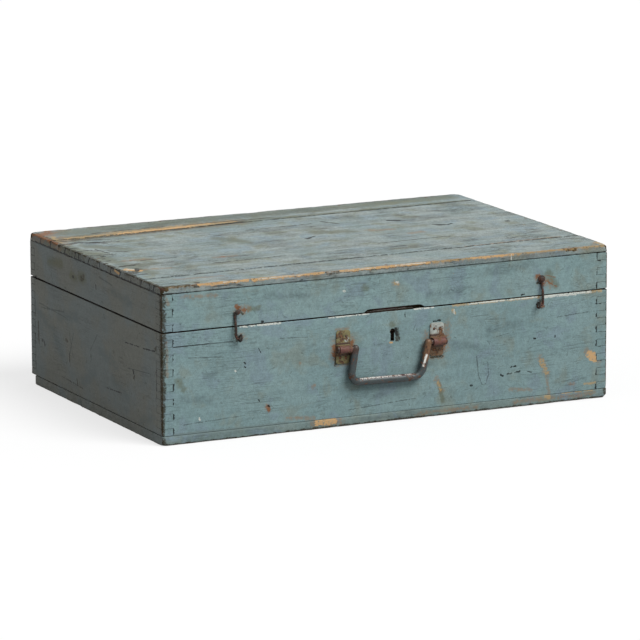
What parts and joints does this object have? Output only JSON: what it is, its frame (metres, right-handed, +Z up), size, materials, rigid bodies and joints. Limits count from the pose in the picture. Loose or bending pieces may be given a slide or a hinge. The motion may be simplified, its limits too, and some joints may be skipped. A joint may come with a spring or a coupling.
{
  "type": "carpenters tool chest",
  "caption": "Shallow painted pine tool chest with finger-jointed corners, a hinged lid, a bail handle in strap mounts, wire hooks and a box lock.",
  "frame": {"origin": "middle of the underside of the bottom boards' full outline, on the surface that the chest stands on", "axes": "+X along the front towards its right end as seen from the front, +Y from the front to the back, +Z up"},
  "size_m": [0.66, 0.4559, 0.2107],
  "materials": {
    "base_paint": "weathered blue-grey paint on pine, chipped to bare wood",
    "lid_paint": "weathered blue-grey paint on pine, chipped to bare wood",
    "top_paint": "faded blue-grey paint, worn through to the grain",
    "bottom_paint": "weathered blue-grey paint, rubbed along its lower edge",
    "mount_paint": "worn olive paint over rusted steel",
    "handle_paint": "blue-grey paint worn to rust and bright steel",
    "rusted_iron": "dark rusted wire",
    "nail_iron": "dull dark iron",
    "lock_iron": "aged bare steel with light rust",
    "hinge_iron": "blue-grey paint over steel, rubbed at the knuckles"
  },
  "bodies": {
    "chest": {"base_front_board": "base_paint", "base_back_board": "base_paint", "base_left_board": "base_paint", "base_right_board": "base_paint", "bottom_front_board": "bottom_paint", "bottom_middle_board": "bottom_paint", "bottom_back_board": "bottom_paint", "bottom_nails": "nail_iron", "handle_mount_left": "mount_paint", "handle_mount_right": "mount_paint", "handle_nails": "nail_iron", "hook_eye_left": "rusted_iron", "hook_eye_right": "rusted_iron", "lock_plate": "lock_iron", "lock_screws": "lock_iron", "lock_case": "lock_iron", "lock_drill_pin": "lock_iron", "hinge_left_base_leaf": "hinge_iron", "hinge_right_base_leaf": "hinge_iron", "hinge_left_pin": "hinge_iron", "hinge_right_pin": "hinge_iron", "hinge_base_screws": "hinge_iron"},
    "lid": {"lid_front_rail": "lid_paint", "lid_back_rail": "lid_paint", "lid_left_rail": "lid_paint", "lid_right_rail": "lid_paint", "top_front_board": "top_paint", "top_middle_board": "top_paint", "top_back_board": "top_paint", "lid_nails": "nail_iron", "hook_screws": "rusted_iron", "lock_link_plate": "lock_iron", "lock_link_staple": "lock_iron", "lock_link_screws": "lock_iron", "hinge_left_lid_leaf": "hinge_iron", "hinge_right_lid_leaf": "hinge_iron", "hinge_lid_screws": "hinge_iron"},
    "bail": {"bail_handle": "handle_paint"},
    "hook_left": {"hook_left": "rusted_iron"},
    "hook_right": {"hook_right": "rusted_iron"},
    "lock_bolt": {"lock_bolt": "lock_iron"}
  },
  "joints": [
    {"name": "lid_hinge", "type": "hinge", "parent": "chest", "child": "lid", "pos_m": [0, 0.22195, 0.1505], "axis": [-1, 0, 0], "range_deg": [0, 175]},
    {"name": "bail_swing", "type": "hinge", "parent": "chest", "child": "bail", "pos_m": [0.001, -0.2252, 0.1047], "axis": [-0.9998, 0, 0.0175], "range_deg": [0, 175]},
    {"name": "left_hook_swing", "type": "hinge", "parent": "lid", "child": "hook_left", "pos_m": [-0.222, -0.218, 0.1695], "axis": [0, -1, 0], "range_deg": [-100, 3.5]},
    {"name": "right_hook_swing", "type": "hinge", "parent": "lid", "child": "hook_right", "pos_m": [0.228, -0.218, 0.1731], "axis": [0, 1, 0], "range_deg": [-100, 3.5]},
    {"name": "bolt_slide", "type": "slide", "parent": "chest", "child": "lock_bolt", "axis": [1, 0, 0], "range_m": [0, 0.007]}
  ]
}
